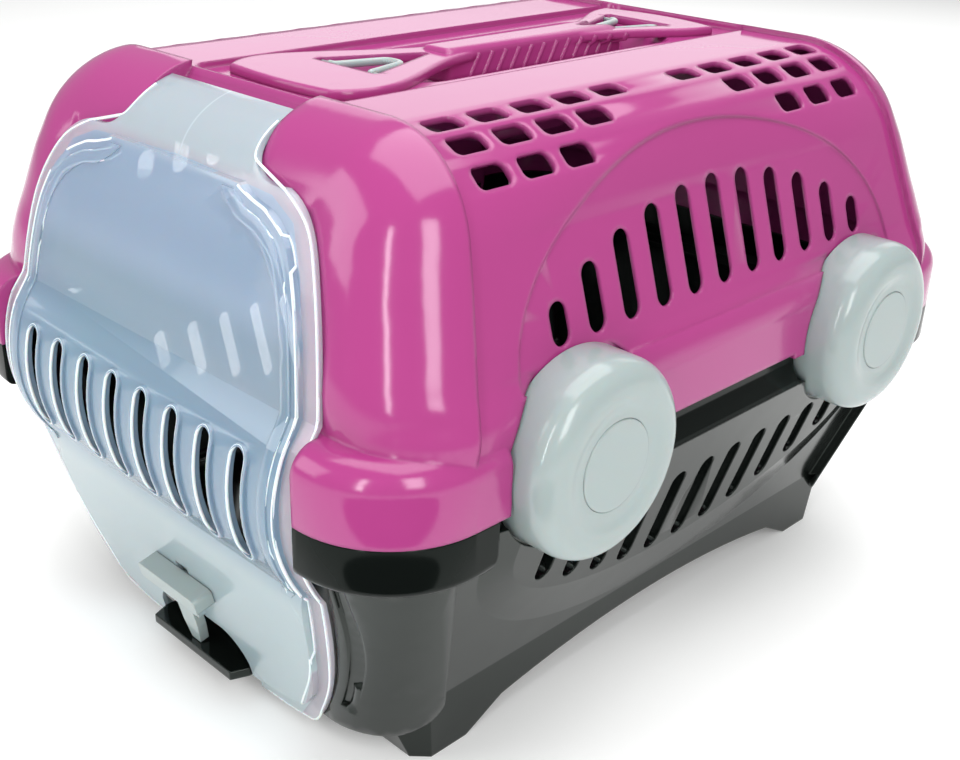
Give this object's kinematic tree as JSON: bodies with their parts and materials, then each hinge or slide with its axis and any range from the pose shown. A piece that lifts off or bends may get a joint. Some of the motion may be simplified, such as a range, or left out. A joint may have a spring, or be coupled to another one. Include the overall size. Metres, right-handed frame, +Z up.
{
  "type": "pet carrier",
  "caption": "Two-shell pet carrier with a clear lifting front door, round side locks and a carry handle on the roof.",
  "frame": {"origin": "centre of the footprint, on the floor under the feet", "axes": "-Y is the front with the door, +Y the closed rear end, +Z up, +X to the right of someone who faces the door"},
  "size_m": [0.415, 0.5005, 0.3255],
  "materials": {
    "hood_plastic": "gloss moulded, magenta pink",
    "tub_plastic": "gloss moulded, charcoal",
    "door_plastic": "milky clear, moulded",
    "white_plastic": "gloss moulded, cool white",
    "washer_plastic": "moulded, natural grey",
    "screw_steel": "zinc plated"
  },
  "bodies": {
    "carrier": {"upper_hood": "hood_plastic", "lower_tub": "tub_plastic", "carry_handle": "hood_plastic", "handle_screws": "screw_steel"},
    "door": {"front_door": "door_plastic"},
    "latch": {"latch_slider": "white_plastic"},
    "front_ring": {"front_strap_ring": "white_plastic"},
    "rear_ring": {"rear_strap_ring": "white_plastic"},
    "front_right_lock": {"front_right_lock_wheel": "white_plastic", "front_right_hub_cap": "white_plastic", "front_right_lock_washer": "washer_plastic", "front_right_lock_screw": "screw_steel"},
    "rear_right_lock": {"rear_right_lock_wheel": "white_plastic", "rear_right_hub_cap": "white_plastic", "rear_right_lock_washer": "washer_plastic", "rear_right_lock_screw": "screw_steel"},
    "front_left_lock": {"front_left_lock_wheel": "white_plastic", "front_left_hub_cap": "white_plastic", "front_left_lock_washer": "washer_plastic", "front_left_lock_screw": "screw_steel"},
    "rear_left_lock": {"rear_left_lock_wheel": "white_plastic", "rear_left_hub_cap": "white_plastic", "rear_left_lock_washer": "washer_plastic", "rear_left_lock_screw": "screw_steel"}
  },
  "joints": [
    {"name": "door_swing", "type": "hinge", "parent": "carrier", "child": "door", "pos_m": [0, -0.179, 0.312], "axis": [-1, 0, 0], "range_deg": [0, 105]},
    {"name": "latch_slide", "type": "slide", "parent": "door", "child": "latch", "axis": [0, -0.2311, 0.9729], "range_m": [0, 0.008]},
    {"name": "front_right_lock_turn", "type": "hinge", "parent": "carrier", "child": "front_right_lock", "pos_m": [0.19, -0.1208, 0.1776], "axis": [1, 0, 0], "range_deg": [0, 90]},
    {"name": "rear_right_lock_turn", "type": "hinge", "parent": "carrier", "child": "rear_right_lock", "pos_m": [0.19, 0.1208, 0.1776], "axis": [1, 0, 0], "range_deg": [0, 90]},
    {"name": "front_left_lock_turn", "type": "hinge", "parent": "carrier", "child": "front_left_lock", "pos_m": [-0.19, -0.1208, 0.1776], "axis": [-1, 0, 0], "range_deg": [0, 90]},
    {"name": "rear_left_lock_turn", "type": "hinge", "parent": "carrier", "child": "rear_left_lock", "pos_m": [-0.19, 0.1208, 0.1776], "axis": [-1, 0, 0], "range_deg": [0, 90]},
    {"name": "front_ring_lift", "type": "hinge", "parent": "carrier", "child": "front_ring", "pos_m": [0, -0.1025, 0.3205], "axis": [1, 0, 0], "range_deg": [0, 85]},
    {"name": "rear_ring_lift", "type": "hinge", "parent": "carrier", "child": "rear_ring", "pos_m": [0, 0.1285, 0.3205], "axis": [-1, 0, 0], "range_deg": [0, 85]}
  ]
}
